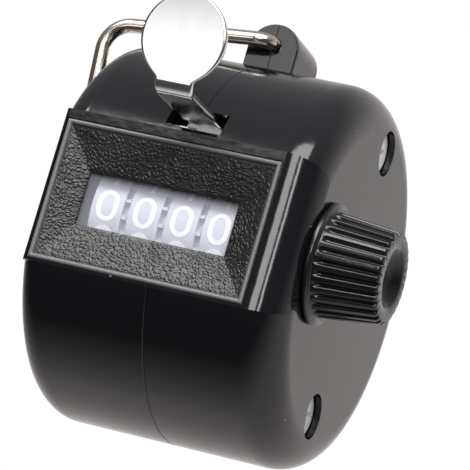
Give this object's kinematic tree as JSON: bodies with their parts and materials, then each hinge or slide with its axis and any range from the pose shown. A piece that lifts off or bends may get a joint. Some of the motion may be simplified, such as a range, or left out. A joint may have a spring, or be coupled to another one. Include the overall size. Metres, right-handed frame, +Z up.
{
  "type": "hand tally counter",
  "caption": "Round hand-held tally counter with number wheels behind a window, a sprung thumb lever, a side reset knob and a folding wire finger ring.",
  "frame": {"origin": "on the round casing's axis, halfway along it, where the two casing shells meet; the palm closes round this axis", "axes": "+X along the casing's axis towards the reset knob, -Y out of the display window, +Z up through the ring's lug"},
  "size_m": [0.0478, 0.0582, 0.0537],
  "materials": {
    "black_gloss": "polished black ABS",
    "knob_black": "moulded black ABS",
    "grained_black": "leather-grained black ABS",
    "clear_window": "clear polished acrylic",
    "zinc_screw": "bright zinc plate",
    "plate_steel": "pressed sheet steel",
    "turned_steel": "turned steel",
    "spring_steel": "drawn spring steel",
    "wheel_white": "pale moulded nylon",
    "pinion_nylon": "natural nylon",
    "ratchet_brass": "cut brass",
    "polished_steel": "polished nickel plate",
    "nickel_wire": "nickel-plated wire"
  },
  "bodies": {
    "casing": {"left_casing": "black_gloss", "right_casing": "black_gloss", "front_bezel": "grained_black", "window_lens": "clear_window", "casing_screws": "zinc_screw", "left_side_plate": "plate_steel", "right_side_plate": "plate_steel", "frame_spacers": "turned_steel", "pinion_shaft": "turned_steel", "lever_pivot_pin": "turned_steel", "lever_return_spring": "spring_steel", "holding_spring": "spring_steel"},
    "shaft": {"wheel_shaft": "turned_steel", "shaft_clip": "spring_steel", "reset_knob": "knob_black"},
    "units": {"units_wheel": "wheel_white", "drive_ratchet": "ratchet_brass"},
    "tens": {"tens_wheel": "wheel_white"},
    "hundreds": {"hundreds_wheel": "wheel_white"},
    "thousands": {"thousands_wheel": "wheel_white"},
    "pinion_tens": {"tens_pinion": "pinion_nylon"},
    "pinion_hundreds": {"hundreds_pinion": "pinion_nylon"},
    "pinion_thousands": {"thousands_pinion": "pinion_nylon"},
    "lever": {"thumb_lever": "polished_steel", "lever_arm": "plate_steel", "lever_rivets": "turned_steel", "pawl_pin": "turned_steel", "pawl_spring": "spring_steel"},
    "pawl": {"drive_pawl": "spring_steel"},
    "ring": {"finger_ring": "nickel_wire"}
  },
  "joints": [
    {"name": "lever_press", "type": "hinge", "parent": "casing", "child": "lever", "pos_m": [0, -0.017, 0.0097], "axis": [1, 0, 0], "range_deg": [0, 12], "stiffness_Nm_per_rad": 0.05, "springref_deg": -5.73},
    {"name": "pawl_swing", "type": "hinge", "parent": "lever", "child": "pawl", "pos_m": [0, -0.0076, 0.0074], "axis": [1, 0, 0], "range_deg": [-12, 0]},
    {"name": "units_turn", "type": "hinge", "parent": "casing", "child": "units", "pos_m": [0, -0.0122, -0.0005], "axis": [1, 0, 0], "continuous": true},
    {"name": "tens_turn", "type": "hinge", "parent": "casing", "child": "tens", "pos_m": [0, -0.0122, -0.0005], "axis": [1, 0, 0], "continuous": true},
    {"name": "hundreds_turn", "type": "hinge", "parent": "casing", "child": "hundreds", "pos_m": [0, -0.0122, -0.0005], "axis": [1, 0, 0], "continuous": true},
    {"name": "thousands_turn", "type": "hinge", "parent": "casing", "child": "thousands", "pos_m": [0, -0.0122, -0.0005], "axis": [1, 0, 0], "continuous": true},
    {"name": "tens_pinion_turn", "type": "hinge", "parent": "casing", "child": "pinion_tens", "pos_m": [0, -0.0031, -0.0005], "axis": [1, 0, 0], "continuous": true},
    {"name": "hundreds_pinion_turn", "type": "hinge", "parent": "casing", "child": "pinion_hundreds", "pos_m": [0, -0.0031, -0.0005], "axis": [1, 0, 0], "continuous": true},
    {"name": "thousands_pinion_turn", "type": "hinge", "parent": "casing", "child": "pinion_thousands", "pos_m": [0, -0.0031, -0.0005], "axis": [1, 0, 0], "continuous": true},
    {"name": "knob_turn", "type": "hinge", "parent": "casing", "child": "shaft", "pos_m": [0, -0.0122, -0.0005], "axis": [1, 0, 0], "continuous": true},
    {"name": "ring_swing", "type": "hinge", "parent": "casing", "child": "ring", "pos_m": [0, 0, 0.0269], "axis": [0, 1, 0], "range_deg": [0, 170]}
  ],
  "couplings": [
    {"joint": "pawl_swing", "follows": "lever_press", "ratio": -1},
    {"joint": "tens_turn", "follows": "units_turn", "ratio": 0.1},
    {"joint": "hundreds_turn", "follows": "units_turn", "ratio": 0.01},
    {"joint": "thousands_turn", "follows": "units_turn", "ratio": 0.001},
    {"joint": "tens_pinion_turn", "follows": "units_turn", "ratio": -0.25},
    {"joint": "hundreds_pinion_turn", "follows": "units_turn", "ratio": -0.025},
    {"joint": "thousands_pinion_turn", "follows": "units_turn", "ratio": -0.0025}
  ]
}
